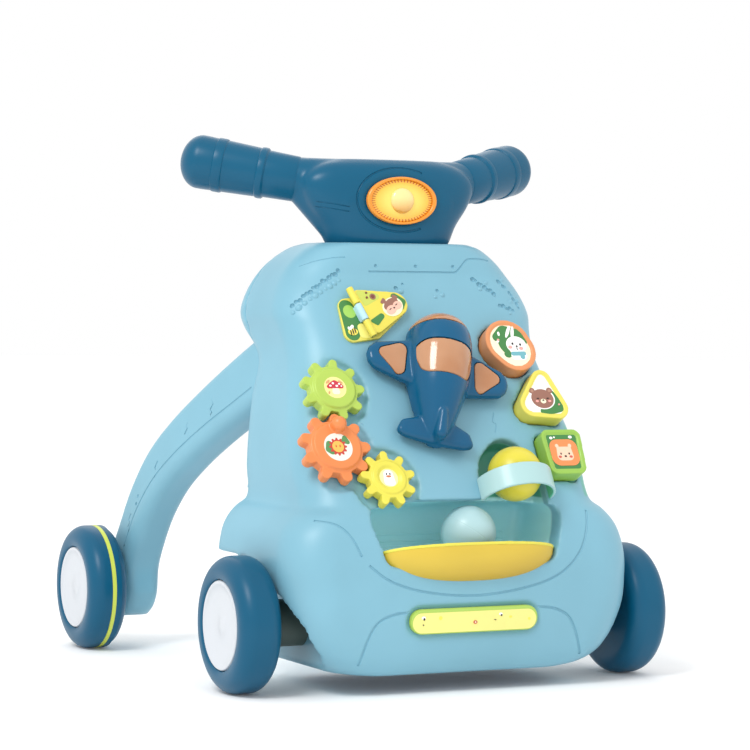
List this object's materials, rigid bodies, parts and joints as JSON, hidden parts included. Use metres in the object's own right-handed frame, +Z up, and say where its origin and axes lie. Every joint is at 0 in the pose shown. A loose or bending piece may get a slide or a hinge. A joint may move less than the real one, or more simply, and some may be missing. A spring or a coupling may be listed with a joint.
{
  "type": "baby walker",
  "caption": "Push-along baby walker on wheels: leaning activity panel with press keys, meshing gears, flip page, ball bin and drop hoop, under a push bar with swept grips and a headlight.",
  "frame": {"origin": "on the floor, under the middle of the whole walker's bounding box", "axes": "+Z up, -Y the front with the play panel, +Y the rear where the child stands, X across"},
  "size_m": [0.4, 0.462, 0.4528],
  "materials": {
    "sky_plastic": "satin moulded",
    "deep_blue_plastic": "satin moulded",
    "lemon_plastic": "satin moulded",
    "mint_plastic": "satin moulded",
    "leaf_plastic": "satin moulded",
    "orange_plastic": "satin moulded",
    "amber_clear": "smooth, slightly see-through",
    "lens_yellow": "smooth, slightly see-through",
    "white_plastic": "satin moulded",
    "dark_plastic": "fine texture",
    "axle_steel": "drawn",
    "cell": "wrapped",
    "board": "laminate",
    "silicone": "soft"
  },
  "bodies": {
    "walker": {"front_shell": "sky_plastic", "rear_shell": "sky_plastic", "base_plate": "deep_blue_plastic", "ball_tray": "lemon_plastic", "ball_hoop": "mint_plastic", "name_plaque": "leaf_plastic", "gear_posts": "white_plastic", "key_pad": "silicone", "flip_base": "lemon_plastic", "flip_pin": "axle_steel", "handlebar_front": "deep_blue_plastic", "handlebar_rear": "deep_blue_plastic", "grip_left": "deep_blue_plastic", "grip_right": "deep_blue_plastic", "headlight_bezel": "orange_plastic", "headlight_lens": "lens_yellow", "headlight_led": "white_plastic", "leg_left_outer": "sky_plastic", "leg_left_inner": "sky_plastic", "leg_right_outer": "sky_plastic", "leg_right_inner": "sky_plastic", "front_axle": "axle_steel", "rear_axles": "axle_steel", "axle_mounts": "dark_plastic", "battery_box": "dark_plastic", "battery_door": "sky_plastic", "batteries": "cell", "circuit_board": "board", "speaker": "dark_plastic", "screws": "axle_steel"},
    "wheel_front_l": {"wheel_front_left": "deep_blue_plastic", "hub_front_left": "white_plastic"},
    "wheel_front_r": {"wheel_front_right": "deep_blue_plastic", "hub_front_right": "white_plastic"},
    "wheel_rear_l": {"wheel_rear_left_outer": "deep_blue_plastic", "wheel_rear_left_inner": "deep_blue_plastic", "band_rear_left": "lemon_plastic", "hub_rear_left": "white_plastic"},
    "wheel_rear_r": {"wheel_rear_right_outer": "deep_blue_plastic", "wheel_rear_right_inner": "deep_blue_plastic", "band_rear_right": "lemon_plastic", "hub_rear_right": "white_plastic"},
    "orange_gear": {"gear_orange": "orange_plastic"},
    "green_gear": {"gear_green": "leaf_plastic"},
    "yellow_gear": {"gear_yellow": "lemon_plastic"},
    "round_button": {"button_round": "orange_plastic"},
    "triangle_button": {"button_triangle": "lemon_plastic"},
    "square_button": {"button_square": "leaf_plastic"},
    "plane": {"plane_body": "deep_blue_plastic", "plane_canopy": "amber_clear", "plane_nose_lens": "amber_clear", "wing_lenses": "amber_clear"},
    "page": {"flip_page": "lemon_plastic"},
    "mint_ball": {"ball_mint": "mint_plastic"},
    "yellow_ball": {"ball_yellow": "lemon_plastic"},
    "switch": {"switch_knob": "white_plastic"}
  },
  "joints": [
    {"name": "wheel_front_l_spin", "type": "hinge", "parent": "walker", "child": "wheel_front_l", "pos_m": [-0.175, -0.151, 0.055], "axis": [1, 0, 0], "continuous": true},
    {"name": "wheel_front_r_spin", "type": "hinge", "parent": "walker", "child": "wheel_front_r", "pos_m": [0.175, -0.151, 0.055], "axis": [1, 0, 0], "continuous": true},
    {"name": "wheel_rear_l_spin", "type": "hinge", "parent": "walker", "child": "wheel_rear_l", "pos_m": [-0.1825, 0.176, 0.055], "axis": [1, 0, 0], "continuous": true},
    {"name": "wheel_rear_r_spin", "type": "hinge", "parent": "walker", "child": "wheel_rear_r", "pos_m": [0.1825, 0.176, 0.055], "axis": [1, 0, 0], "continuous": true},
    {"name": "orange_gear_spin", "type": "hinge", "parent": "walker", "child": "orange_gear", "pos_m": [-0.105, -0.17676, 0.19373], "axis": [0, -0.8746, 0.4848], "continuous": true},
    {"name": "green_gear_spin", "type": "hinge", "parent": "walker", "child": "green_gear", "pos_m": [-0.09583, -0.15155, 0.23921], "axis": [0, -0.8746, 0.4848], "continuous": true},
    {"name": "yellow_gear_spin", "type": "hinge", "parent": "walker", "child": "yellow_gear", "pos_m": [-0.06502, -0.19033, 0.16925], "axis": [0, -0.8746, 0.4848], "continuous": true},
    {"name": "round_button_press", "type": "slide", "parent": "walker", "child": "round_button", "axis": [0, 0.8746, -0.4848], "range_m": [0, 0.003], "stiffness_N_per_m": 500, "springref_m": -0.001},
    {"name": "triangle_button_press", "type": "slide", "parent": "walker", "child": "triangle_button", "axis": [0, 0.8746, -0.4848], "range_m": [0, 0.003], "stiffness_N_per_m": 500, "springref_m": -0.001},
    {"name": "square_button_press", "type": "slide", "parent": "walker", "child": "square_button", "axis": [0, 0.8746, -0.4848], "range_m": [0, 0.003], "stiffness_N_per_m": 500, "springref_m": -0.001},
    {"name": "plane_press", "type": "slide", "parent": "walker", "child": "plane", "axis": [0, 0.8746, -0.4848], "range_m": [0, 0.003], "stiffness_N_per_m": 1500, "springref_m": -0.001},
    {"name": "page_turn", "type": "hinge", "parent": "walker", "child": "page", "pos_m": [-0.063, -0.11258, 0.32394], "axis": [0.2844, -0.4648, -0.8385], "range_deg": [0, 170]},
    {"name": "mint_ball_roll", "type": "slide", "parent": "walker", "child": "mint_ball", "axis": [1, 0, 0], "range_m": [-0.035, 0.03]},
    {"name": "yellow_ball_drop", "type": "slide", "parent": "walker", "child": "yellow_ball", "axis": [0, 0.4848, 0.8746], "range_m": [0, 0.006]},
    {"name": "switch_slide", "type": "slide", "parent": "walker", "child": "switch", "axis": [0, 0, 1], "range_m": [-0.003, 0.003]}
  ],
  "couplings": [
    {"joint": "green_gear_spin", "follows": "orange_gear_spin", "ratio": -1},
    {"joint": "yellow_gear_spin", "follows": "orange_gear_spin", "ratio": -1}
  ]
}
